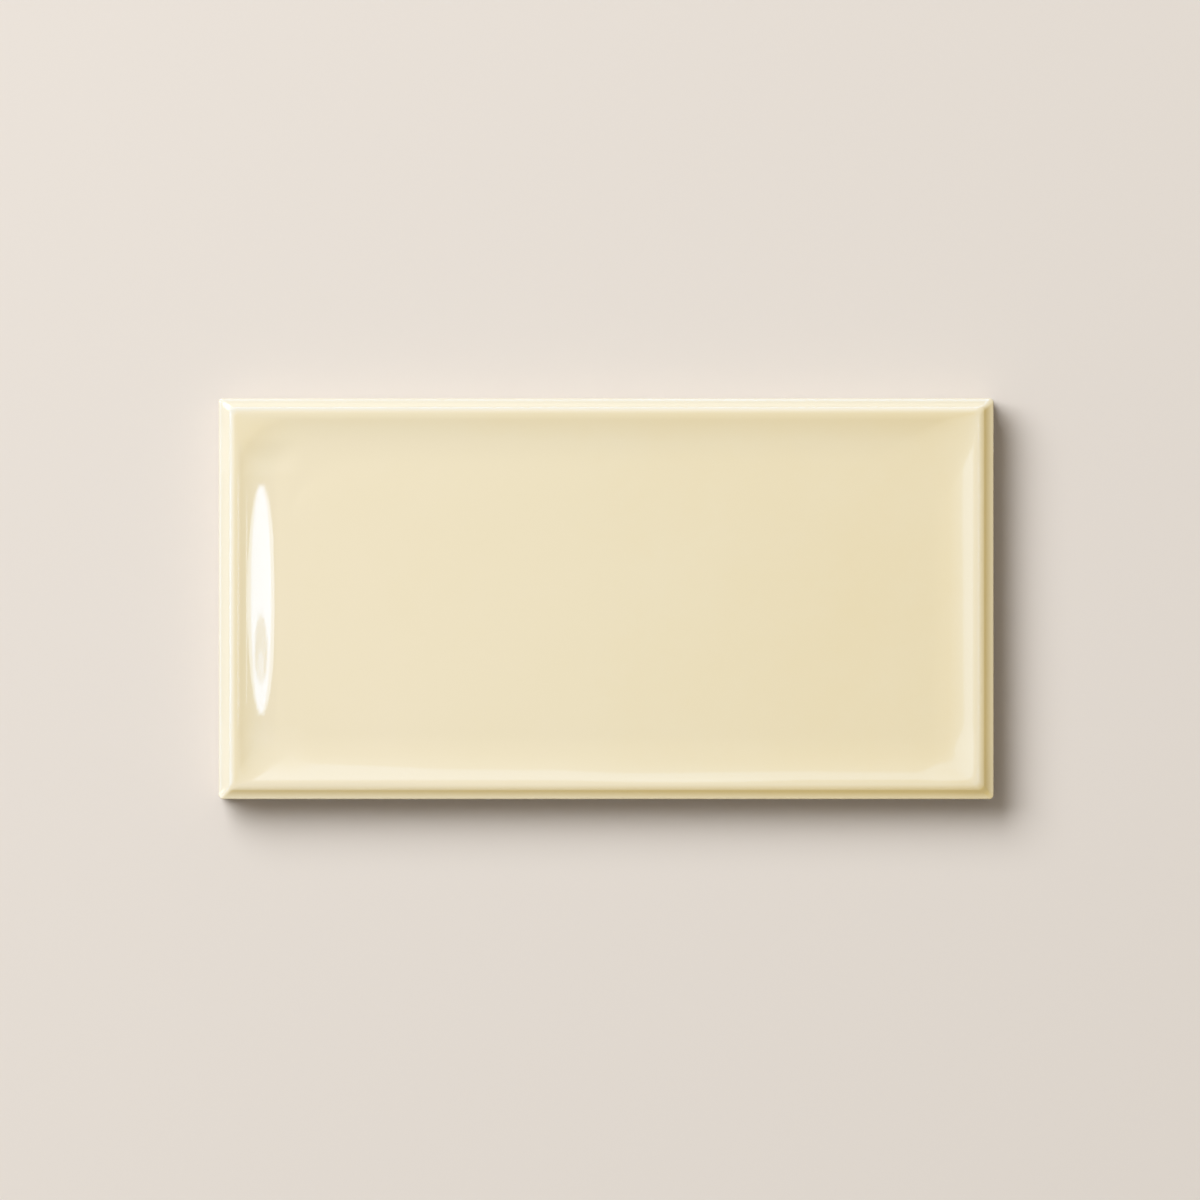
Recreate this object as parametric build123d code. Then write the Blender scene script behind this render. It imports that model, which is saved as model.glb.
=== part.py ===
from build123d import *
import os
from math import atan2, tan

# Glazed ceramic wall tile: one pressed and fired piece that lies on its back.
# A narrow bevel runs round the face, its top edge is a soft raised rim, and
# inside the rim the face sinks into a very shallow dish with rounded corners.
# The back is keyed with a grid of shallow pockets that the adhesive fills.
# Millimetres. Origin at the centre of the back, +X along the length and +Z
# out of the glazed face.

# Overall size, from the plane of the back to the crest of the rim
tile_length = 150.0
tile_width = 77.6
tile_thickness = 8.0
corner_radius = 0.8  # of the upright corners, seen from above

# Bevel round the face
bevel_run = 2.2  # its width, seen from above
bevel_drop = 1.0  # its fall, from the rim down to the top of the side
arris_radius = 0.4  # where the bevel turns into the side

# Raised rim at the top of the bevel
rim_corner_radius = 1.0
rim_radius = 3.5  # rounds the rim's outer shoulder
rim_flat = 0.1  # level crest between the shoulder and the dish

# Dished face inside the rim: an S curve made of two parabolas
dish_depth = 0.65
lip_run = 1.4  # rounded lip that turns down from the rim
sweep_run = 8.0  # hollow sweep that levels out on the dish's floor
dish_corner_radius = 12.0  # of the floor's corners, seen from above

# Keyed back
pocket_size = 12.0
pocket_depth = 0.6
pocket_corner_radius = 1.2
pocket_draft = 30.0  # degrees that a pocket's walls lean outwards
rib_width = 3.0
back_border = 4.5  # least width of the plain border round the pockets
back_chamfer = 0.5


def outline(inset, radius, height):
    """The tile's plan outline, moved inwards by inset, as a face at that height."""
    face = RectangleRounded(tile_length - 2 * inset, tile_width - 2 * inset, radius)
    return Pos(Z=height) * face


def bevelled_blank():
    """The tile with its bevel, soft arris and rim shoulder, and a flat face and back."""
    shoulder_height = tile_thickness - bevel_drop
    footprint = outline(0, corner_radius, 0)
    blank = extrude(footprint, amount=shoulder_height)
    blank += loft(
        [outline(0, corner_radius, shoulder_height), outline(bevel_run, rim_corner_radius, tile_thickness)],
        ruled=True,
    )
    arris = blank.edges().filter_by_position(Axis.Z, shoulder_height, shoulder_height)
    blank = fillet(arris, arris_radius)
    rim = blank.faces().sort_by(Axis.Z)[-1].outer_wire().edges()
    blank = fillet(rim, rim_radius)
    back_edge = blank.faces().sort_by(Axis.Z)[0].outer_wire().edges()
    return chamfer(back_edge, back_chamfer)


def dish_fall(run):
    """How far the face lies below the rim, at that distance inside the dish's edge."""
    dish_run = lip_run + sweep_run
    steepest = 2 * dish_depth / dish_run
    if run <= lip_run:
        return steepest * run**2 / (2 * lip_run)
    return dish_depth - steepest * (dish_run - run) ** 2 / (2 * sweep_run)


def dish_ring(run):
    """The dish's outline at that distance inside its edge. Its corners grow rounder towards the floor."""
    bevel_angle = atan2(bevel_drop, bevel_run)
    edge_inset = bevel_run + rim_radius * tan(bevel_angle / 2) + rim_flat
    share = run / (lip_run + sweep_run)
    radius = rim_corner_radius + (dish_corner_radius - rim_corner_radius) * share
    return outline(edge_inset + run, radius, tile_thickness - dish_fall(run))


def dish():
    """The shallow hollow of the face. Three rings loft each of its two parabolas exactly."""
    lip = loft([dish_ring(run) for run in (0, lip_run / 2, lip_run)])
    sweep = loft([dish_ring(lip_run + run) for run in (0, sweep_run / 2, sweep_run)])
    return [lip, sweep]


def pockets():
    """The key pockets of the back: as many as fit inside the border, centred on the tile."""
    pitch = pocket_size + rib_width
    columns = int((tile_length - 2 * back_border + rib_width) // pitch)
    rows = int((tile_width - 2 * back_border + rib_width) // pitch)
    mouth = RectangleRounded(pocket_size, pocket_size, pocket_corner_radius)
    pocket = extrude(mouth, amount=pocket_depth, taper=pocket_draft)
    return [place * pocket for place in GridLocations(pitch, pitch, columns, rows)]


def wall_tile():
    """The whole tile, one solid."""
    return bevelled_blank() - dish() - pockets()


os.makedirs("parts", exist_ok=True)
export_step(wall_tile(), "parts/wall_tile.step")
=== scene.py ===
"""Cream glazed ceramic wall tile, lying face up on a plain pale floor."""

import logging
import math
from dataclasses import dataclass, field
from enum import Enum
from typing import Any, Sequence

import bmesh
import bpy
import numpy as np
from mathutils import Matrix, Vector, noise


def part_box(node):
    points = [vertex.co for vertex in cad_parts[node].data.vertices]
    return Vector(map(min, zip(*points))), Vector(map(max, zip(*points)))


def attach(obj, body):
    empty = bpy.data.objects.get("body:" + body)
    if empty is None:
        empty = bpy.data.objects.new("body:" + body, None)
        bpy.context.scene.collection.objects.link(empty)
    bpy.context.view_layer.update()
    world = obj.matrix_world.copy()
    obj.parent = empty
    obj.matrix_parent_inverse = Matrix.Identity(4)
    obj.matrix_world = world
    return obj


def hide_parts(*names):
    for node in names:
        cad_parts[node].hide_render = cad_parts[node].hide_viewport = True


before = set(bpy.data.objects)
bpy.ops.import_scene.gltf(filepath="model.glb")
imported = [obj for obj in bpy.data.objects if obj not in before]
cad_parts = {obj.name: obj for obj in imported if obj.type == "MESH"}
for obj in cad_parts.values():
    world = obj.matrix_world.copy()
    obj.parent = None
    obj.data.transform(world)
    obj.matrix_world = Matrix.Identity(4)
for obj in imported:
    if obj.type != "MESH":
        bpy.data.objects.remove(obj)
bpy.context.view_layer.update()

MM = 0.001  # the sizes below are in millimetres, and Blender's are in metres
NODE = "wall_tile"
BODY = "root"
WELD = 0.004 * MM  # vertices nearer than this are one
DAYLIGHT = "#A3CCFF"  # cool light that makes a cream gloss look white

log = logging.getLogger("wall_tile")


Corners = tuple[float, float, float, float]  # radii, counterclockwise from the top right corner


class Zone(Enum):
    """Finish that a strip of the tile's skin carries."""

    BISCUIT = 0
    GLAZE = 1


class Side(Enum):
    """Sides of the tile, by the angle that they face, in degrees."""

    RIGHT = 0
    TOP = 90
    LEFT = 180
    BOTTOM = 270


def linear(hex_colour: str, strength: float = 1.0) -> tuple[float, float, float, float]:
    """Turns an sRGB hex colour into linear light.

    Args:
        hex_colour: six hex digits after a hash sign.
        strength: factor on the linear values.

    Returns:
        Red, green, blue and an alpha of 1.
    """
    parts = [int(hex_colour[i : i + 2], 16) / 255 for i in (1, 3, 5)]
    light = [part / 12.92 if part <= 0.04045 else ((part + 0.055) / 1.055) ** 2.4 for part in parts]
    return (*[part * strength for part in light], 1.0)


def per_metre(size_mm: float) -> float:
    """Texture scale that gives a pattern this real size in millimetres."""
    return 1 / (size_mm * MM)


def smooth_step(value: np.ndarray, start: float, end: float) -> np.ndarray:
    """Rises smoothly from 0 at start to 1 at end."""
    share = np.clip((value - start) / (end - start), 0, 1)
    return share * share * (3 - 2 * share)


def add_node(
    tree: bpy.types.NodeTree, kind: str, inputs: dict[str | int, Any] | None = None, **settings: Any
) -> bpy.types.Node:
    """Adds a node to a tree, with its settings, values and links.

    Args:
        tree: shader or geometry tree.
        kind: the node's type name.
        inputs: values, or output sockets to link, by input name or number.
        settings: properties of the node.

    Returns:
        The new node.
    """
    node = tree.nodes.new(kind)
    for name, value in settings.items():
        setattr(node, name, value)
    for key, value in (inputs or {}).items():
        if isinstance(value, bpy.types.NodeSocket):
            tree.links.new(value, node.inputs[key])
        else:
            node.inputs[key].default_value = value
    return node


def set_stops(ramp: bpy.types.Node, stops: Sequence[tuple[float, Sequence[float]]]) -> None:
    """Gives a colour ramp its stops.

    Args:
        ramp: the ramp's node, with the two stops that a new one has.
        stops: place from 0 to 1 and colour of each stop.
    """
    elements = ramp.color_ramp.elements
    for i, (place, colour) in enumerate(stops):
        stop = elements.new(place) if i > 1 else elements[i]
        stop.position, stop.color = place, colour


def new_material(name: str) -> tuple[bpy.types.Material, bpy.types.NodeTree]:
    """Makes an empty node material.

    Args:
        name: the material's name.

    Returns:
        The material and its tree.
    """
    material = bpy.data.materials.new(name)
    material.use_nodes = True
    material.node_tree.nodes.clear()
    return material, material.node_tree


def new_geometry_tree(name: str, sockets: dict[str, str]) -> tuple[bpy.types.NodeTree, bpy.types.Node]:
    """Makes a Geometry Nodes tree with a geometry input and output and named inputs.

    Args:
        name: the tree's name.
        sockets: socket type by input name.

    Returns:
        The tree and its input node.
    """
    tree = bpy.data.node_groups.new(name, "GeometryNodeTree")
    tree.interface.new_socket("Geometry", in_out="OUTPUT", socket_type="NodeSocketGeometry")
    tree.interface.new_socket("Geometry", in_out="INPUT", socket_type="NodeSocketGeometry")
    for socket_name, kind in sockets.items():
        tree.interface.new_socket(socket_name, in_out="INPUT", socket_type=kind)
    return tree, tree.nodes.new("NodeGroupInput")


def run_tree(piece: bpy.types.Object, tree: bpy.types.NodeTree, values: dict[str, Any]) -> None:
    """Runs a Geometry Nodes tree on an object and keeps the result as its plain mesh.

    Args:
        piece: the object that the tree changes.
        tree: the tree to run.
        values: value by input name.
    """
    modifier = piece.modifiers.new(tree.name, "NODES")
    modifier.node_group = tree
    for item in tree.interface.items_tree:
        if item.item_type == "SOCKET" and item.in_out == "INPUT" and item.name in values:
            modifier[item.identifier] = values[item.name]
    graph = bpy.context.evaluated_depsgraph_get()
    made = bpy.data.meshes.new_from_object(
        piece.evaluated_get(graph), preserve_all_data_layers=True, depsgraph=graph
    )
    piece.modifiers.remove(modifier)
    piece.data = made


def link_object(name: str, data: bpy.types.ID) -> bpy.types.Object:
    """Puts a mesh, lamp or camera into the scene.

    Args:
        name: of the new object.
        data: what it shows.

    Returns:
        The new object.
    """
    piece = bpy.data.objects.new(name, data)
    bpy.context.scene.collection.objects.link(piece)
    return piece


@dataclass(frozen=True)
class CreamGlaze:
    """Earthenware glaze, poured and fired to a gloss.

    A clear cream glass over a pale body: mirror bright, paler where it has drawn thin over an edge
    and deeper in colour where it has pooled, with faint clouds, and a little duller over the edges.
    The same thin-to-pooled scale also carries painted light and painted shade: paler on the lit left
    and top bevels and inside the right and bottom rim, deeper on the shaded right and bottom bevels,
    inside the left and top rim, at the lip's foot and towards the right end.
    """

    shades: Sequence[tuple[float, str]] = (
        (-1.0, "#E8E3D0"),
        (-0.65, "#E7E1CB"),
        (-0.2, "#F0E7CC"),
        (0.0, "#EEE5C7"),
        (1.0, "#E5D08F"),
    )  # colour of the glaze where it is drawn thin, is even, or has pooled; the thin end also serves as painted light and the pooled end as painted shade
    cloud_depth: float = 0.3  # how much its thickness clouds
    cloud_size: float = 30.0
    roughness: float = 0.01
    edge_roughness: float = 0.2  # where it is dullest
    ior: float = 1.52

    def build(self) -> bpy.types.Material:
        """Makes the material.

        Returns:
            The glaze, which reads the skin's pool and gloss attributes.
        """
        material, tree = new_material("cream_earthenware_glaze_poured_gloss")
        place = add_node(tree, "ShaderNodeTexCoord").outputs["Object"]
        # glaze depth with painted light and painted shade added to it
        pool = add_node(tree, "ShaderNodeAttribute", attribute_name="pool").outputs["Fac"]
        clouds = add_node(
            tree,
            "ShaderNodeTexNoise",
            {"Vector": place, "Scale": per_metre(self.cloud_size), "Detail": 6.0, "Roughness": 0.75},
        )
        uneven = add_node(
            tree,
            "ShaderNodeMapRange",
            {"Value": clouds.outputs["Fac"], "To Min": -self.cloud_depth / 2, "To Max": self.cloud_depth / 2},
        )
        cover = add_node(tree, "ShaderNodeMath", {0: pool, 1: uneven.outputs["Result"]}, operation="ADD")
        share = add_node(tree, "ShaderNodeMapRange", {"Value": cover.outputs[0], "From Min": -1.0})
        colour = add_node(tree, "ShaderNodeValToRGB", {"Fac": share.outputs["Result"]})
        set_stops(colour, [((depth + 1) / 2, linear(shade)) for depth, shade in self.shades])
        gloss = add_node(tree, "ShaderNodeAttribute", attribute_name="gloss").outputs["Fac"]
        sheen = add_node(
            tree,
            "ShaderNodeMapRange",
            {"Value": gloss, "To Min": self.edge_roughness, "To Max": self.roughness},
        )
        shader = add_node(
            tree,
            "ShaderNodeBsdfPrincipled",
            {
                "Base Color": colour.outputs["Color"],
                "Roughness": sheen.outputs["Result"],
                "IOR": self.ior,
            },
        )
        add_node(tree, "ShaderNodeOutputMaterial", {"Surface": shader.outputs["BSDF"]})
        return material


@dataclass(frozen=True)
class BiscuitBody:
    """Buff earthenware body, dust pressed and fired without glaze.

    Chalky and matt, with a fine sandy grain, faint warm blotches and a whiter wash on the high ribs.
    """

    body: str = "#BDB3A4"
    blotch: str = "#B0A492"
    wash: str = "#D3CDC2"
    blotch_size: float = 14.0
    grain_size: float = 0.5
    grain_height: float = 0.03
    wash_height: float = 0.12  # how far from the back's plane the wash reaches
    roughness: float = 0.88

    def build(self) -> bpy.types.Material:
        """Makes the material.

        Returns:
            The bare body's material.
        """
        material, tree = new_material("buff_earthenware_biscuit_pressed")
        place = add_node(tree, "ShaderNodeTexCoord").outputs["Object"]
        blotches = add_node(
            tree, "ShaderNodeTexNoise", {"Vector": place, "Scale": per_metre(self.blotch_size), "Detail": 4.0}
        )
        base = add_node(
            tree,
            "ShaderNodeMix",
            {0: blotches.outputs["Fac"], 6: linear(self.body), 7: linear(self.blotch)},
            data_type="RGBA",
        )
        height = add_node(tree, "ShaderNodeSeparateXYZ", {"Vector": place}).outputs["Z"]
        washed = add_node(
            tree,
            "ShaderNodeMapRange",
            {"Value": height, "From Min": self.wash_height * MM, "From Max": 0.0, "To Max": 0.8},
        )
        colour = add_node(
            tree,
            "ShaderNodeMix",
            {0: washed.outputs["Result"], 6: base.outputs[2], 7: linear(self.wash)},
            data_type="RGBA",
        )
        grain = add_node(
            tree, "ShaderNodeTexNoise", {"Vector": place, "Scale": per_metre(self.grain_size), "Detail": 3.0}
        )
        bump = add_node(
            tree,
            "ShaderNodeBump",
            {"Height": grain.outputs["Fac"], "Strength": 0.8, "Distance": self.grain_height * MM},
        )
        shader = add_node(
            tree,
            "ShaderNodeBsdfPrincipled",
            {
                "Base Color": colour.outputs[2],
                "Roughness": self.roughness,
                "Normal": bump.outputs["Normal"],
            },
        )
        add_node(tree, "ShaderNodeOutputMaterial", {"Surface": shader.outputs["BSDF"]})
        return material


@dataclass(frozen=True)
class MattFloor:
    """Plain pale board: matt and even, so that only the tile's shadow falls on it."""

    colour: str = "#E4DFDA"
    roughness: float = 0.9

    def build(self) -> bpy.types.Material:
        """Makes the material.

        Returns:
            The floor's material.
        """
        material, tree = new_material("pale_board_matt")
        shader = add_node(
            tree,
            "ShaderNodeBsdfPrincipled",
            {"Base Color": linear(self.colour), "Roughness": self.roughness, "Specular IOR Level": 0.2},
        )
        add_node(tree, "ShaderNodeOutputMaterial", {"Surface": shader.outputs["BSDF"]})
        return material


def side_vectors(side: Side) -> tuple[np.ndarray, np.ndarray]:
    """Gives the directions that belong to one side of a ring.

    Args:
        side: the side.

    Returns:
        Unit vectors out of the side and along it, counterclockwise.
    """
    angle = math.radians(side.value)
    out = np.array((math.cos(angle), math.sin(angle)))
    return out, np.array((-out[1], out[0]))


def rounded_ring(
    half_x: float, half_y: float, radii: Corners, height: float, steps: tuple[int, int, int]
) -> np.ndarray:
    """Points of a rounded rectangle, counterclockwise from the lower end of its right side.

    Args:
        half_x: half of its length.
        half_y: half of its width.
        radii: of its corners. At 0 the points of a corner fall together.
        height: of its plane.
        steps: steps along a long side, along a short side and round a corner.

    Returns:
        One row for each point.
    """
    points = []
    for i, side in enumerate(Side):
        before, after = radii[i - 1], radii[i]
        out, on = side_vectors(side)
        upright = side in (Side.RIGHT, Side.LEFT)
        reach, half, count = (half_x, half_y, steps[1]) if upright else (half_y, half_x, steps[0])
        for along in np.linspace(before - half, half - after, count, endpoint=False):
            points.append(out * reach + on * along)
        centre = out * (reach - after) + on * (half - after)
        for turn in np.linspace(0, math.pi / 2, steps[2], endpoint=False):
            points.append(centre + after * (out * math.cos(turn) + on * math.sin(turn)))
    flat = np.array(points)
    return np.column_stack((flat, np.full(len(flat), height)))


def ring_outward(steps: tuple[int, int, int]) -> np.ndarray:
    """Unit vectors that point out of a rounded ring, in the order of its points.

    Args:
        steps: steps along a long side, along a short side and round a corner.

    Returns:
        One row for each point.
    """
    vectors = []
    for side in Side:
        out, on = side_vectors(side)
        vectors += [out] * (steps[1] if side in (Side.RIGHT, Side.LEFT) else steps[0])
        for turn in np.linspace(0, math.pi / 2, steps[2], endpoint=False):
            vectors.append(out * math.cos(turn) + on * math.sin(turn))
    return np.array(vectors)


def strip_faces(rings: int, count: int) -> list[tuple[int, int, int, int]]:
    """Quads between consecutive closed rings.

    Args:
        rings: number of rings.
        count: points on each ring.

    Returns:
        Vertex numbers of each quad.
    """
    faces = []
    for ring in range(rings - 1):
        low, high = ring * count, (ring + 1) * count
        for here in range(count):
            after = (here + 1) % count
            faces.append((low + here, low + after, high + after, high + here))
    return faces


def fillet_points(
    corner: tuple[float, float], arrive: np.ndarray, leave: np.ndarray, radius: float, steps: int
) -> list[np.ndarray]:
    """Points of the arc that rounds one corner of a section.

    Args:
        corner: inset and height of the sharp corner.
        arrive: unit direction of the line that comes in.
        leave: unit direction of the line that goes out.
        radius: of the arc.
        steps: of the arc.

    Returns:
        Inset and height of each point, both ends included.
    """
    turn = math.acos(float(arrive @ leave))
    across = (leave - arrive * math.cos(turn)) / math.sin(turn)
    start = np.array(corner) - arrive * radius * math.tan(turn / 2)
    return [
        start + radius * (math.sin(angle) * arrive + (1 - math.cos(angle)) * across)
        for angle in np.linspace(0, turn, steps + 1)
    ]


@dataclass(frozen=True)
class Ring:
    """One outline of the tile's skin, in millimetres."""

    inset: float
    height: float
    radii: Corners
    zone: Zone  # finish of the strip that runs up to this ring
    pool: float = 0.0  # glaze: -1 drawn thin, 0 even, 1 pooled; deeper at the lip's foot, which is partly painted shade
    side_shade: tuple[float, float] = (0.0, 0.0)  # painted shade on the right and on the top side, as deeper glaze; a negative value paints light, as thinner glaze; the left and bottom sides get the opposite
    gloss: float = 0.0  # 0 dull, 1 mirror bright
    ripple: float = 0.0  # share of the glaze's unevenness
    line: float = 0.0  # share of the glaze line's waves
    ease: float = 0.0  # share of the easier fall on the bottom side


@dataclass(frozen=True)
class Slope:
    """Section of a slope, by its steepness in degrees at chosen distances from its top."""

    runs: tuple[float, ...]
    angles: tuple[float, ...]

    def fall(self, run: np.ndarray) -> np.ndarray:
        """Adds up the slope's steepness.

        Args:
            run: distances from its top.

        Returns:
            How far the slope has fallen at each of them.
        """
        fine = np.linspace(0, self.runs[-1], 400)
        steepness = np.tan(np.radians(np.interp(fine, self.runs, self.angles)))
        steps = (steepness[1:] + steepness[:-1]) / 2 * np.diff(fine)
        return np.interp(run, fine, np.concatenate(([0.0], np.cumsum(steps))))


@dataclass(frozen=True)
class GlazeShelf:
    """Run of thicker glaze inside the left rim, which bends the hollow's slope into a long flat facet."""

    section: Slope = Slope((0.0, 1.1, 1.9, 7.55, 8.2), (0.0, 8.4, 6.05, 2.2, 0.0))
    half_length: float = 26.0
    fade: float = 5.0
    merge: tuple[float, float] = (1.0, 5.0)  # how far past its foot it passes into the dish
    droop: float = 0.03  # how far its ends sink
    droop_length: float = 2.6
    droop_run: float = 1.5  # how far from the dish's edge they have sunk in full

    def lift(self, run: np.ndarray, fall: np.ndarray, along: np.ndarray) -> np.ndarray:
        """Height that the glaze adds to points of the dish.

        Args:
            run: of each point, from the dish's left edge.
            fall: of each point below the rim.
            along: where each point lies along the shelf, from its middle.

        Returns:
            One height for each point.
        """
        end = self.section.runs[-1]
        reach = np.abs(along)
        share = 1 - smooth_step(reach, self.half_length, self.half_length + self.fade)
        share *= 1 - smooth_step(run, end + self.merge[0], end + self.merge[1])
        droop = self.droop * smooth_step(reach, self.half_length - self.droop_length, self.half_length)
        droop *= smooth_step(run, 0.0, self.droop_run)
        return share * (fall - self.section.fall(run) - droop)


@dataclass(frozen=True)
class Patch:
    """Rounded part of the face, in millimetres from the tile's centre."""

    centre: tuple[float, float]
    reach: tuple[float, float, float, float]  # to the left, to the right, down and up

    def nearness(self, points: np.ndarray) -> np.ndarray:
        """Finds how near points are to the patch's centre.

        Args:
            points: of the skin.

        Returns:
            1 at the centre, 0 from the patch's edge on.
        """
        x, y = (points[:, :2] - self.centre).T
        left, right, down, up = self.reach
        away = (x / np.where(x < 0, left, right)) ** 2 + (y / np.where(y < 0, down, up)) ** 2
        return np.clip(1 - away, 0, 1)


@dataclass(frozen=True)
class Swell:
    """Soft rise or dent in the glaze."""

    patch: Patch
    rise: float

    def height(self, points: np.ndarray) -> np.ndarray:
        """Height that it adds at each point."""
        return self.rise * self.patch.nearness(points) ** 2


@dataclass(frozen=True)
class DullSpot:
    """Spot where the glaze has a softer gloss than around it, or a harder one if its loss is negative."""

    patch: Patch
    loss: float

    def dulling(self, points: np.ndarray) -> np.ndarray:
        """Share of the gloss that it takes at each point."""
        return self.loss * smooth_step(self.patch.nearness(points), 0.0, 0.6)


@dataclass
class KeyedBack:
    """Grid of shallow pockets in the back, made of one pocket that repeats."""

    size: float = 12.0
    depth: float = 0.6
    corner: float = 1.2
    draft: float = 30.0
    rib: float = 3.0
    border: float = 4.5
    mouth_round: float = 0.22
    side_steps: int = 20
    corner_steps: int = 4

    @property
    def pitch(self) -> float:
        """Distance from one pocket to the next."""
        return self.size + self.rib

    def count_along(self, length: float) -> int:
        """Number of pockets that fit along that length of the tile."""
        return int((length - 2 * self.border + self.rib) // self.pitch)

    def pocket_cell(self) -> bpy.types.Object:
        """Makes one pocket with its share of the ribs around it.

        Returns:
            The cell, open at its square edge, facing down.
        """
        lean = math.tan(math.radians(self.draft))
        soft = self.mouth_round
        section = [
            (self.depth * lean + soft, self.depth),
            (self.depth * lean + 0.3 * soft, self.depth * 0.97),
            (self.depth * lean * 0.8, self.depth * 0.8),
            (self.depth * lean * 0.2, self.depth * 0.2),
            (-0.3 * soft, 0.03 * self.depth),
            (-soft, 0.0),
        ]
        steps = (self.side_steps, self.side_steps, self.corner_steps)
        rings = []
        for inset, height in section:
            half, radius = self.size / 2 - inset, self.corner - inset
            rings.append(rounded_ring(half, half, (radius,) * 4, height, steps))
        rings.append(rounded_ring(self.pitch / 2, self.pitch / 2, (0.0,) * 4, 0.0, steps))
        count = len(rings[0])
        faces = [tuple(reversed(range(count)))] + strip_faces(len(rings), count)
        mesh = bpy.data.meshes.new("key_pocket")
        mesh.from_pydata(np.concatenate(rings) * MM, [], faces)
        return link_object("key_pocket", mesh)

    def pattern_tree(self) -> bpy.types.NodeTree:
        """Makes the tree that repeats a pocket over a grid.

        Returns:
            The tree, with inputs for the pitch, the counts and the finish.
        """
        tree, given = new_geometry_tree(
            "key_pattern",
            {
                "Pitch": "NodeSocketFloat",
                "Columns": "NodeSocketInt",
                "Rows": "NodeSocketInt",
                "Weld": "NodeSocketFloat",
                "Biscuit": "NodeSocketMaterial",
            },
        )
        spans = []
        for name in ("Columns", "Rows"):
            gaps = add_node(
                tree, "ShaderNodeMath", {0: given.outputs[name], 1: 1.0}, operation="SUBTRACT"
            )
            span = add_node(
                tree,
                "ShaderNodeMath",
                {0: gaps.outputs[0], 1: given.outputs["Pitch"]},
                operation="MULTIPLY",
            )
            spans.append(span.outputs[0])
        grid = add_node(
            tree,
            "GeometryNodeMeshGrid",
            {
                "Size X": spans[0],
                "Size Y": spans[1],
                "Vertices X": given.outputs["Columns"],
                "Vertices Y": given.outputs["Rows"],
            },
        )
        placed = add_node(
            tree,
            "GeometryNodeInstanceOnPoints",
            {"Points": grid.outputs["Mesh"], "Instance": given.outputs["Geometry"]},
        )
        real = add_node(tree, "GeometryNodeRealizeInstances", {"Geometry": placed.outputs["Instances"]})
        welded = add_node(
            tree,
            "GeometryNodeMergeByDistance",
            {"Geometry": real.outputs["Geometry"], "Distance": given.outputs["Weld"]},
        )
        finished = add_node(
            tree,
            "GeometryNodeSetMaterial",
            {"Geometry": welded.outputs["Geometry"], "Material": given.outputs["Biscuit"]},
        )
        add_node(tree, "NodeGroupOutput", {"Geometry": finished.outputs["Geometry"]})
        return tree

    def build(self, length: float, width: float, biscuit: bpy.types.Material) -> bpy.types.Object:
        """Makes the whole pattern of pockets.

        Args:
            length: of the tile.
            width: of the tile.
            biscuit: finish of the bare body.

        Returns:
            The pattern as a plain mesh.
        """
        cell = self.pocket_cell()
        values = {
            "Pitch": self.pitch * MM,
            "Columns": self.count_along(length),
            "Rows": self.count_along(width),
            "Weld": WELD,
            "Biscuit": biscuit,
        }
        run_tree(cell, self.pattern_tree(), values)
        log.info("keyed back: %d faces", len(cell.data.polygons))
        return cell


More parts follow.
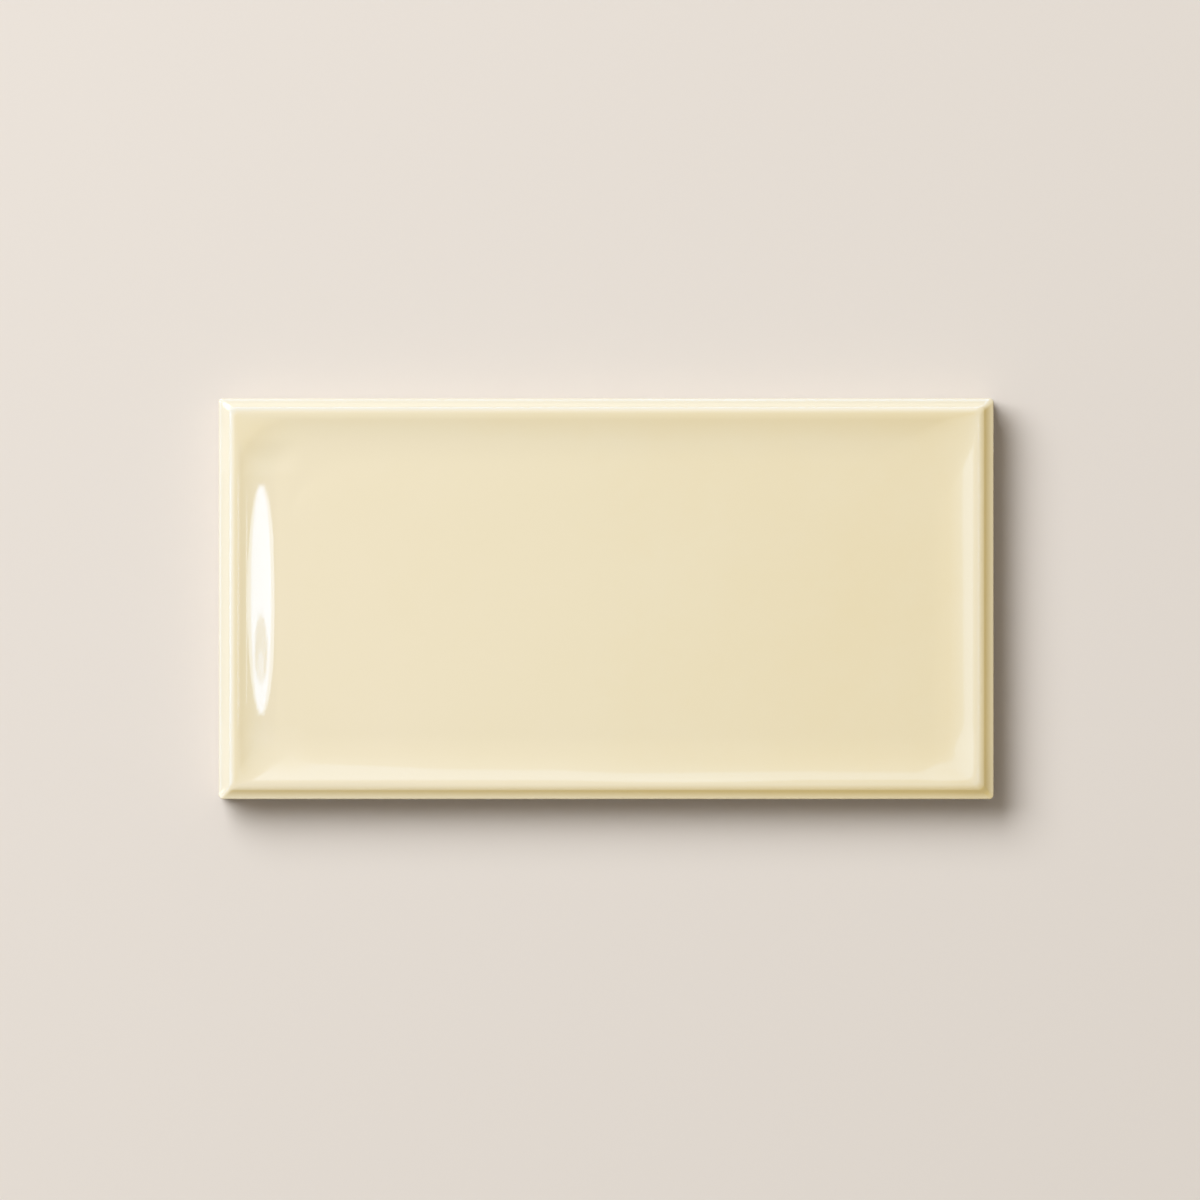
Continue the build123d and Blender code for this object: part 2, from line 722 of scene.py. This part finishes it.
@dataclass
class GlazedTile:
    """The tile: a pressed body with a bevel, a raised rim, a dished face and a keyed back."""

    length: float
    width: float
    thickness: float
    corner_radius: float = 0.8
    crest: float = 3.15  # inset of the rim's crest
    edge: Slope = Slope((0.0, 1.1, 1.4, 2.6, 2.96), (0.0, 15.0, 30.0, 18.0, 12.0))  # rim and bevel, outwards
    edge_steps: tuple[int, ...] = (9, 5, 6, 3)
    edge_pools: tuple[float, ...] = (0.0, -0.1, 0.0, -0.25, -0.3)  # glaze at each of those places
    edge_shade_shares: tuple[float, ...] = (0.55, 1.0, 0.6, 0.5)  # share of the bevel's painted light and shade, past the crest
    edge_gloss: float = 0.4
    bottom_ease: float = 0.22  # share by which the bevel falls less on the bottom side
    arris_radius: float = 0.25
    rim_corner_radius: float = 1.0
    dish_depth: float = 0.65
    lip_run: float = 1.2
    sweep_run: float = 8.2
    lip_steps: int = 9
    sweep_steps: int = 32
    lip_shade: float = 0.08  # glaze held at the foot of the lip, deeper in colour there: partly real pooling, partly painted shade along the band inside the rim
    pool_reach: float = 0.6  # share of the way to the floor where the lip's deeper glaze and the painted light and shade inside the rim have run out
    lip_corners: Corners = (6.0, 9.0, 3.0, 1.5)  # at the foot of the lip
    dish_corners: Corners = (14.0, 15.0, 7.0, 4.0)  # at the edge of the dish's floor
    back_chamfer: float = 0.5
    glaze_thickness: float = 0.12
    glaze_line: float = 5.9  # height on the sides where the glaze ends
    glaze_wave: float = 0.35
    glaze_wave_size: float = 11.0
    flow_height: float = 0.07  # slow waves of the glaze
    flow_size: float = 26.0
    bevel_light_and_shade: tuple[float, float] = (0.85, -1.0)  # painted shade on the right bevel and painted light on the top bevel, as deeper and thinner glaze; the left bevel gets painted light, the bottom bevel painted shade
    dish_light_and_shade: tuple[float, float] = (-0.3, 0.12)  # the same inside the rim: painted light inside the right and bottom rim, painted shade inside the left and top rim
    falloff_shade: float = 0.4  # painted shade: how much deeper in colour the glaze is made at the right end than at the left, for the light that falls off away from the window
    seed: float = 4.0
    corner_steps: int = 24
    back: KeyedBack = field(default_factory=KeyedBack)
    shelf: GlazeShelf = field(default_factory=GlazeShelf)
    swells: Sequence[Swell] = (
        Swell(Patch((-56.0, -35.2), (24.0, 26.0, 1.5, 5.0)), 0.045),
        Swell(Patch((14.5, -34.5), (26.0, 26.0, 1.4, 5.0)), -0.05),
        Swell(Patch((71.2, -35.0), (10.0, 4.0, 4.0, 10.0)), 0.16),
    )
    dull_spots: Sequence[DullSpot] = (
        DullSpot(Patch((-66.8, -10.9), (1.5, 1.5, 6.4, 9.9)), 0.46),
        DullSpot(Patch((-66.9, -13.2), (0.9, 0.9, 3.2, 3.6)), -0.18),
    )
    shift_insets: tuple[float, ...] = (0.3, 0.65, 1.0, 1.15)  # bevel, shoulder, crest and lip, in crests
    top_shift: tuple[float, ...] = (0.0, 0.35, 0.18, 0.1)  # the top's rim lies further up, and is broader
    end_shift: tuple[float, ...] = (0.0, 0.05, 0.1, 0.1)  # both ends lie further to the right
    bottom_shift: tuple[float, ...] = (0.0, 0.15, 0.38, 0.4)  # the bottom's rim is further down, and narrower
    dull_corners: float = 23.8  # how far from the middle of the left end its gloss begins to fade
    dull_fade: float = 0.8
    dull_reach: tuple[float, float] = (8.0, 11.0)  # how far on the gloss comes back
    dull_band: tuple[float, float] = (14.0, 20.0)  # how far from the left end this holds, and where it ends
    calm_band: tuple[float, float] = (15.0, 22.0)  # the same for the part without waves

    @property
    def steps(self) -> tuple[int, int, int]:
        """Steps along a long side, along a short side and round a corner of each ring."""
        return (
            self.back.count_along(self.length) * self.back.side_steps,
            self.back.count_along(self.width) * self.back.side_steps,
            self.corner_steps,
        )

    @property
    def steepest(self) -> float:
        """Slope where the lip passes into the sweep."""
        return 2 * self.dish_depth / (self.lip_run + self.sweep_run)

    def dish_fall(self, run: float) -> float:
        """Follows the dish's section.

        Args:
            run: distance inside the dish's edge.

        Returns:
            How far the face lies below the rim there.
        """
        if run <= self.lip_run:
            return self.steepest * run**2 / (2 * self.lip_run)
        left = self.lip_run + self.sweep_run - run
        return self.dish_depth - self.steepest * left**2 / (2 * self.sweep_run)

    def outer_radii(self, inset: float) -> Corners:
        """Corner radii of a ring outside the dish."""
        radius = float(np.interp(inset, (0, self.crest), (self.corner_radius, self.rim_corner_radius)))
        return (radius,) * 4

    def dish_radii(self, run: float) -> Corners:
        """Lets the dish's corners grow rounder inwards.

        Args:
            run: distance inside the dish's edge.

        Returns:
            Corner radii of the ring there.
        """
        runs = (0.0, self.lip_run, self.lip_run + self.sweep_run)
        ends = zip(self.lip_corners, self.dish_corners)
        return tuple(float(np.interp(run, runs, (self.rim_corner_radius, lip, dish))) for lip, dish in ends)

    def body_rings(self) -> list[Ring]:
        """Lays out the bare body.

        Returns:
            Its rings, from the back's chamfer to the glaze line.
        """
        side = self.glaze_thickness
        foot = side + self.back_chamfer
        upright = (self.corner_radius,) * 4
        return [
            Ring(foot, 0.0, (self.corner_radius - self.back_chamfer,) * 4, Zone.BISCUIT),
            Ring(side, self.back_chamfer, upright, Zone.BISCUIT),
            Ring(side, self.glaze_line * 0.6, upright, Zone.BISCUIT, line=0.3),
            Ring(side, self.glaze_line, upright, Zone.BISCUIT, line=1.0),
        ]

    def edge_rings(self) -> list[Ring]:
        """Lays out the glazed side, arris, bevel and rim.

        Returns:
            Their rings, from the glaze line up.
        """
        roll, line, glaze = self.glaze_thickness, self.glaze_line, Zone.GLAZE
        upright = (self.corner_radius,) * 4
        runs, lean = self.edge.runs, math.radians(self.edge.angles[-1])
        foot = self.crest - runs[-1]
        corner = (0.0, self.thickness - float(self.edge.fall(runs[-1])) - foot * math.tan(lean))
        up, slope = np.array((0.0, 1.0)), np.array((math.cos(lean), math.sin(lean)))
        rings = [
            Ring(roll * 0.35, line + roll * 0.2, upright, glaze, 0.4, line=1.0),
            Ring(0.0, line + roll, upright, glaze, 0.6, line=1.0),
            Ring(0.0, line + 0.4, upright, glaze, 0.2, ripple=0.2, line=0.5),
        ]
        # painted light and shade by side on the arris
        outer = tuple(self.edge_shade_shares[-1] * shade_amount for shade_amount in self.bevel_light_and_shade)
        for inset, height in fillet_points(corner, up, slope, self.arris_radius, 6):
            pool, gloss = self.edge_pools[-1], self.edge_gloss
            rings.append(Ring(inset, height, upright, glaze, pool, outer, gloss, ripple=0.7, ease=1.0))
        stretches = zip(runs[:0:-1], runs[-2::-1], self.edge_steps[::-1])
        steps = [np.linspace(start, end, count, endpoint=False) for start, end, count in stretches]
        for run in np.concatenate(steps)[1:]:
            pool = float(np.interp(run, runs, self.edge_pools))
            # painted light and shade by side, passing from the rim's values at the crest to the bevel's
            side_shade = tuple(
                float(np.interp(run, runs, (inner, *(share * shade_amount for share in self.edge_shade_shares))))
                for inner, shade_amount in zip(self.dish_light_and_shade, self.bevel_light_and_shade)
            )
            inset, height = self.crest - run, self.thickness - float(self.edge.fall(run))
            radii, gloss = self.outer_radii(inset), self.edge_gloss
            rings.append(Ring(inset, height, radii, glaze, pool, side_shade, gloss, ripple=1.0, ease=1.0))
        return rings

    def dish_rings(self) -> list[Ring]:
        """Lays out the dished face.

        Returns:
            Its rings, from its edge to its floor.
        """
        total = self.lip_run + self.sweep_run
        reach = self.pool_reach * total
        lip = np.linspace(0, self.lip_run, self.lip_steps)
        sweep = np.linspace(self.lip_run, total, self.sweep_steps)
        rings = []
        for run in [*lip, *sweep[1:]]:
            pool = float(np.interp(run, (0, self.lip_run, reach), (0.0, self.lip_shade, 0.0)))
            # painted light and shade inside the rim, running out towards the floor
            shade_share = float(np.interp(run, (self.lip_run, reach), (1.0, 0.0)))
            side_shade = tuple(shade_share * shade_amount for shade_amount in self.dish_light_and_shade)
            gloss = float(np.interp(run, (0.5 * self.lip_run, 1.1 * self.lip_run), (self.edge_gloss, 1.0)))
            ripple = float(np.interp(run, (0.5 * total, total), (1.0, 0.45)))
            height = self.thickness - self.dish_fall(run)
            inset = self.crest + run
            rings.append(Ring(inset, height, self.dish_radii(run), Zone.GLAZE, pool, side_shade, gloss, ripple))
        return rings

    def ring_points(self, ring: Ring) -> np.ndarray:
        """Places one ring, with the waves of the glaze line, the glaze shelf and the swells.

        Args:
            ring: the ring.

        Returns:
            One row for each of its points.
        """
        insets = np.array(self.shift_insets) * self.crest
        shifts = (self.top_shift, self.end_shift, self.bottom_shift)
        top, right, bottom = (float(np.interp(ring.inset, insets, shift)) for shift in shifts)
        half_x = self.length / 2 - ring.inset
        half_y = self.width / 2 - ring.inset + (top + bottom) / 2
        points = rounded_ring(half_x, half_y, ring.radii, ring.height, self.steps)
        points[:, :2] += (right, (top - bottom) / 2)
        lower_side = np.clip(-ring_outward(self.steps)[:, 1], 0, 1)
        points[:, 2] += ring.ease * self.bottom_ease * (self.thickness - ring.height) * lower_side
        if ring.line:
            for point in points:
                wave = noise.noise(Vector((point[0], point[1], self.seed)) / self.glaze_wave_size)
                point[2] += ring.line * self.glaze_wave * wave
        if ring.inset > self.crest:
            run = points[:, 0] + self.length / 2 - self.crest - self.end_shift[-1]
            points[:, 2] += self.shelf.lift(run, self.thickness - points[:, 2], points[:, 1])
        for swell in self.swells:
            points[:, 2] += ring.ripple * swell.height(points)
        return points

    def brightness(self, points: np.ndarray) -> np.ndarray:
        """Finds how much of the gloss is left beside the dull spots and in the left end's corners.

        Args:
            points: of the skin.

        Returns:
            The share of its gloss that each point keeps.
        """
        near, far = self.dull_band
        end = smooth_step(-points[:, 0], self.length / 2 - far, self.length / 2 - near)
        away = np.abs(points[:, 1]) - self.dull_corners
        corners = end * smooth_step(away, 0.0, self.dull_fade) * (1 - smooth_step(away, *self.dull_reach))
        spots = sum(spot.dulling(points) for spot in self.dull_spots)
        return (1 - corners) * np.clip(1 - spots, 0, 1)

    def floor_grid(self, rim: np.ndarray) -> tuple[np.ndarray, list[tuple[int, ...]]]:
        """Fills the dish's floor with a grid that ends on its last ring.

        Args:
            rim: points of that ring.

        Returns:
            The grid's points, row by row from the bottom, and its quads.
        """
        along_x, along_y, corner = self.steps
        half = corner // 2
        starts = np.cumsum([0, along_y + corner, along_x + corner, along_y + corner])
        middles = [starts[0] - half, *(starts[1:] - half)]
        sides = []
        for middle, count in zip(middles, (along_y, along_x, along_y, along_x)):
            sides.append(rim[np.arange(middle, middle + count + corner + 1) % len(rim)])
        right, top, left, bottom = sides[0], sides[1][::-1], sides[2][::-1], sides[3]
        over = np.linspace(0, 1, len(bottom))[None, :, None]
        up = np.linspace(0, 1, len(right))[:, None, None]
        grid = (1 - up) * bottom[None] + up * top[None] + (1 - over) * left[:, None] + over * right[:, None]
        grid -= (1 - over) * (1 - up) * bottom[0] + over * (1 - up) * bottom[-1]
        grid -= (1 - over) * up * top[0] + over * up * top[-1]
        rows, columns = grid.shape[:2]
        faces = []
        for row in range(rows - 1):
            for column in range(columns - 1):
                first = row * columns + column
                faces.append((first, first + 1, first + columns + 1, first + columns))
        return grid.reshape(-1, 3), faces

    def skin(self) -> bpy.types.Mesh:
        """Makes the skin from the back's border to the dish's floor.

        Returns:
            A mesh that is open where the key pattern goes, with its glaze attributes; pool carries painted
            light and painted shade as well as the glaze's depth.
        """
        rings = self.body_rings() + self.edge_rings() + self.dish_rings()
        pitch = self.back.pitch
        inner = rounded_ring(
            self.back.count_along(self.length) * pitch / 2,
            self.back.count_along(self.width) * pitch / 2,
            (0.0,) * 4,
            0.0,
            self.steps,
        )
        stack = [inner] + [self.ring_points(ring) for ring in rings]
        count = len(inner)
        floor, floor_faces = self.floor_grid(stack[-1])
        points = np.concatenate(stack + [floor])
        offset = count * len(stack)
        faces = strip_faces(len(stack), count)
        faces += [tuple(offset + corner for corner in face) for face in floor_faces]
        zones = np.repeat([ring.zone.value for ring in rings], count)
        glazed = np.concatenate((zones, np.ones(len(floor_faces)))).astype(bool)
        outward = ring_outward(self.steps)
        # glaze depth plus painted light and shade by side
        pool = [np.zeros(count)] + [ring.pool + outward @ ring.side_shade for ring in rings]
        gloss = [np.zeros(count)] + [np.full(count, ring.gloss) for ring in rings]
        ripple = [np.zeros(count)] + [np.full(count, ring.ripple) for ring in rings]
        last = rings[-1]
        # painted shade, deepening towards the right end
        falloff_shade = self.falloff_shade * points[:, 0] / self.length
        near, far = self.calm_band
        calm = smooth_step(-points[:, 0], self.length / 2 - far, self.length / 2 - near)
        layers = {
            "pool": np.concatenate(pool + [np.zeros(len(floor))]) + falloff_shade,
            "gloss": np.concatenate(gloss + [np.full(len(floor), last.gloss)]) * self.brightness(points),
            "ripple": np.concatenate(ripple + [np.full(len(floor), last.ripple)]) * (1 - calm),
        }
        mesh = bpy.data.meshes.new("glazed_tile")
        mesh.from_pydata(points * MM, [], faces)
        for name, values in layers.items():
            mesh.attributes.new(name, "FLOAT", "POINT").data.foreach_set("value", values.astype(np.float32))
        mesh.attributes.new("glazed", "BOOLEAN", "FACE").data.foreach_set("value", glazed)
        return mesh

    def glaze_tree(self) -> bpy.types.NodeTree:
        """Makes the tree that lets the glaze run in slow waves over the skin.

        Returns:
            The tree, with inputs for the waves' size, height and seed and for both finishes.
        """
        tree, given = new_geometry_tree(
            "glaze_flow",
            {
                "Flow Size": "NodeSocketFloat",
                "Flow Height": "NodeSocketFloat",
                "Seed": "NodeSocketFloat",
                "Glaze": "NodeSocketMaterial",
                "Biscuit": "NodeSocketMaterial",
            },
        )
        scale = add_node(tree, "ShaderNodeMath", {0: 1.0, 1: given.outputs["Flow Size"]}, operation="DIVIDE")
        waves = add_node(
            tree,
            "ShaderNodeTexNoise",
            {
                "Vector": add_node(tree, "GeometryNodeInputPosition").outputs["Position"],
                "W": given.outputs["Seed"],
                "Scale": scale.outputs[0],
                "Detail": 1.0,
                "Roughness": 0.35,
            },
            noise_dimensions="4D",
        )
        even = add_node(tree, "ShaderNodeMath", {0: waves.outputs["Fac"], 1: 0.5}, operation="SUBTRACT")
        tall = add_node(
            tree,
            "ShaderNodeMath",
            {0: even.outputs[0], 1: given.outputs["Flow Height"]},
            operation="MULTIPLY",
        )
        share = add_node(tree, "GeometryNodeInputNamedAttribute", {"Name": "ripple"}, data_type="FLOAT")
        shade_share = add_node(
            tree,
            "ShaderNodeMath",
            {0: tall.outputs[0], 1: share.outputs["Attribute"]},
            operation="MULTIPLY",
        )
        lift = add_node(
            tree,
            "ShaderNodeVectorMath",
            {0: add_node(tree, "GeometryNodeInputNormal").outputs["Normal"], "Scale": shade_share.outputs[0]},
            operation="SCALE",
        )
        moved = add_node(
            tree,
            "GeometryNodeSetPosition",
            {"Geometry": given.outputs["Geometry"], "Offset": lift.outputs["Vector"]},
        )
        real = add_node(tree, "GeometryNodeRealizeInstances", {"Geometry": moved.outputs["Geometry"]})
        bare = add_node(
            tree,
            "GeometryNodeSetMaterial",
            {"Geometry": real.outputs["Geometry"], "Material": given.outputs["Biscuit"]},
        )
        glazed = add_node(tree, "GeometryNodeInputNamedAttribute", {"Name": "glazed"}, data_type="BOOLEAN")
        coated = add_node(
            tree,
            "GeometryNodeSetMaterial",
            {
                "Geometry": bare.outputs["Geometry"],
                "Selection": glazed.outputs["Attribute"],
                "Material": given.outputs["Glaze"],
            },
        )
        add_node(tree, "NodeGroupOutput", {"Geometry": coated.outputs["Geometry"]})
        return tree

    def join_back(self, skin: bpy.types.Mesh, back: bpy.types.Object) -> None:
        """Welds the key pattern into the skin and removes its object.

        Args:
            skin: the skin, which is changed.
            back: the key pattern.
        """
        joined = bmesh.new()
        joined.from_mesh(skin)
        joined.from_mesh(back.data)
        bmesh.ops.remove_doubles(joined, verts=joined.verts, dist=WELD)
        bmesh.ops.dissolve_degenerate(joined, edges=joined.edges, dist=WELD / 10)
        open_edges = sum(not edge.is_manifold for edge in joined.edges)
        log.info("tile skin: %d faces, %d open edges", len(joined.faces), open_edges)
        joined.to_mesh(skin)
        joined.free()
        bpy.data.objects.remove(back)

    def build(self, glaze: bpy.types.Material, biscuit: bpy.types.Material) -> bpy.types.Object:
        """Builds the tile and dresses it.

        Args:
            glaze: finish of the face, the bevel and the upper sides.
            biscuit: finish of the bare body.

        Returns:
            The finished piece.
        """
        skin = self.skin()
        self.join_back(skin, self.back.build(self.length, self.width, biscuit))
        piece = link_object("glazed_tile", skin)
        values = {
            "Flow Size": self.flow_size * MM,
            "Flow Height": self.flow_height * MM,
            "Seed": self.seed,
            "Glaze": glaze,
            "Biscuit": biscuit,
        }
        run_tree(piece, self.glaze_tree(), values)
        piece.data.shade_smooth()
        piece.data.set_sharp_from_angle(angle=math.radians(38))
        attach(piece, BODY)
        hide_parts(NODE)
        triangles = sum(len(face.vertices) - 2 for face in piece.data.polygons)
        log.info("glazed tile: %d triangles, materials %s", triangles, piece.data.materials.keys())
        return piece


@dataclass(frozen=True)
class Lamp:
    """One soft lamp that faces a point of the tile, in metres and degrees."""

    name: str
    lean: float  # from straight overhead
    bearing: float  # counterclockwise from the tile's length
    distance: float
    size_x: float
    size_y: float
    radiance: float
    shape: str = "RECTANGLE"
    colour: str = "#FFFFFF"

    def build(self) -> bpy.types.Object:
        """Makes the lamp.

        Returns:
            The lamp, hidden from the camera.
        """
        data = bpy.data.lights.new(self.name, "AREA")
        data.shape = self.shape
        data.size, data.size_y = self.size_x, self.size_y
        area = self.size_x * self.size_y * (math.pi / 4 if self.shape == "ELLIPSE" else 1.0)
        data.energy = self.radiance * math.pi * area
        data.color = linear(self.colour)[:3]
        lamp = link_object(self.name, data)
        lean, bearing = math.radians(self.lean), math.radians(self.bearing)
        lamp.location = self.distance * Vector(
            (math.sin(lean) * math.cos(bearing), math.sin(lean) * math.sin(bearing), math.cos(lean))
        )
        lamp.rotation_euler = (0.0, lean, bearing)
        lamp.visible_camera = False
        return lamp


@dataclass
class Studio:
    """Plain floor, soft lamps and the camera straight overhead."""

    frame_width: float = 232.26  # what the picture spans at the tile's face
    lens: float = 900.0
    sensor: float = 36.0
    aim: tuple[float, float] = (-1.2, -0.25)
    floor_size: float = 12.0
    ambient: float = 0.285
    ambient_colour: str = "#FFF1DD"
    backdrop: str = "#E4DCD3"
    glow: float = 9.0  # brightness that the gloss sees high up towards the window
    glow_stops: Sequence[tuple[float, float]] = (
        (0.085, 0.0),
        (0.142, 0.05),
        (0.154, 0.25),
        (0.25, 0.28),
        (0.3, 1.0),
        (0.345, 1.0),
        (0.385, 0.08),
        (0.45, 0.0),
    )  # lean towards the window, and share of the glow
    window_bearing: float = 136.0
    lamps: Sequence[Lamp] = (
        Lamp("window_light", 48.0, 136.0, 2.8, 2.17, 2.89, 6.33, shape="ELLIPSE"),
        Lamp("strip_lamp", 6.54, 0.0, 5.033, 0.46, 0.082, 4.6, "ELLIPSE", "#89B8FF"),
        Lamp("strip_lamp_halo", 6.43, 0.0, 5.052, 0.65, 0.084, 5.2, "ELLIPSE", "#C4DCFF"),
        Lamp("strip_lamp_edge", 10.31, 0.0, 5.123, 0.03, 0.078, 5.0, "ELLIPSE", "#C4DCFF"),
    )

    def build_floor(self) -> bpy.types.Object:
        """Makes the floor that the tile lies on.

        Returns:
            The floor, which is no part of the tile.
        """
        half = self.floor_size / 2
        corners = [(-half, -half, 0), (half, -half, 0), (half, half, 0), (-half, half, 0)]
        mesh = bpy.data.meshes.new("floor")
        mesh.from_pydata(corners, [], [(0, 1, 2, 3)])
        mesh.materials.append(MattFloor().build())
        floor = link_object("floor", mesh)
        return floor

    def build_world(self) -> None:
        """Lights the scene evenly from all round, with a pale backdrop and a cool glow in the gloss."""
        world = bpy.data.worlds.new("studio")
        world.use_nodes = True
        tree = world.node_tree
        tree.nodes.clear()
        bearing = math.radians(self.window_bearing)
        view = add_node(tree, "ShaderNodeTexCoord").outputs["Generated"]
        lean = add_node(
            tree,
            "ShaderNodeVectorMath",
            {0: view, 1: (math.cos(bearing), math.sin(bearing), 0.0)},
            operation="DOT_PRODUCT",
        )
        glow = add_node(tree, "ShaderNodeValToRGB", {"Fac": lean.outputs["Value"]})
        set_stops(glow, [(place, (share, share, share, 1.0)) for place, share in self.glow_stops])
        rays = add_node(tree, "ShaderNodeLightPath")
        mirrored = add_node(
            tree,
            "ShaderNodeMix",
            {0: glow.outputs["Color"], 6: linear(self.backdrop), 7: linear(DAYLIGHT, self.glow)},
            data_type="RGBA",
        )
        ambient = linear(self.ambient_colour, self.ambient)
        gloss = add_node(
            tree,
            "ShaderNodeMix",
            {0: rays.outputs["Is Glossy Ray"], 6: ambient, 7: mirrored.outputs[2]},
            data_type="RGBA",
        )
        colour = add_node(
            tree,
            "ShaderNodeMix",
            {0: rays.outputs["Is Camera Ray"], 6: gloss.outputs[2], 7: linear(self.backdrop)},
            data_type="RGBA",
        )
        light = add_node(tree, "ShaderNodeBackground", {"Color": colour.outputs[2], "Strength": 1.0})
        add_node(tree, "ShaderNodeOutputWorld", {"Surface": light.outputs["Background"]})
        bpy.context.scene.world = world

    def build_camera(self, face_height: float) -> bpy.types.Object:
        """Makes the camera, straight above the tile, with a long lens.

        Args:
            face_height: height of the tile's face, in metres.

        Returns:
            The camera.
        """
        data = bpy.data.cameras.new("camera")
        data.lens, data.sensor_width = self.lens, self.sensor
        distance = self.frame_width * MM * self.lens / self.sensor
        data.clip_start, data.clip_end = 0.1, 4 * distance
        camera = link_object("camera", data)
        camera.location = (self.aim[0] * MM, self.aim[1] * MM, face_height + distance)
        bpy.context.scene.camera = camera
        return camera

    def build(self, face_height: float) -> None:
        """Builds the floor, the lamps, the world and the camera.

        Args:
            face_height: height of the tile's face, in metres.
        """
        self.build_floor()
        for lamp in self.lamps:
            lamp.build()
        self.build_world()
        self.build_camera(face_height)
        bpy.context.scene.view_settings.view_transform = "Standard"
        log.info("studio: %d lamps", len(self.lamps))


def main() -> None:
    """Builds the tile and its studio."""
    logging.basicConfig(level=logging.INFO, format="%(name)s: %(message)s")
    low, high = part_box(NODE)
    length, width, thickness = ((high - low) / MM)[:]
    tile = GlazedTile(round(length, 3), round(width, 3), round(thickness, 3))
    tile.build(CreamGlaze().build(), BiscuitBody().build())
    Studio().build(high.z)


if __name__ == "__main__":
    main()
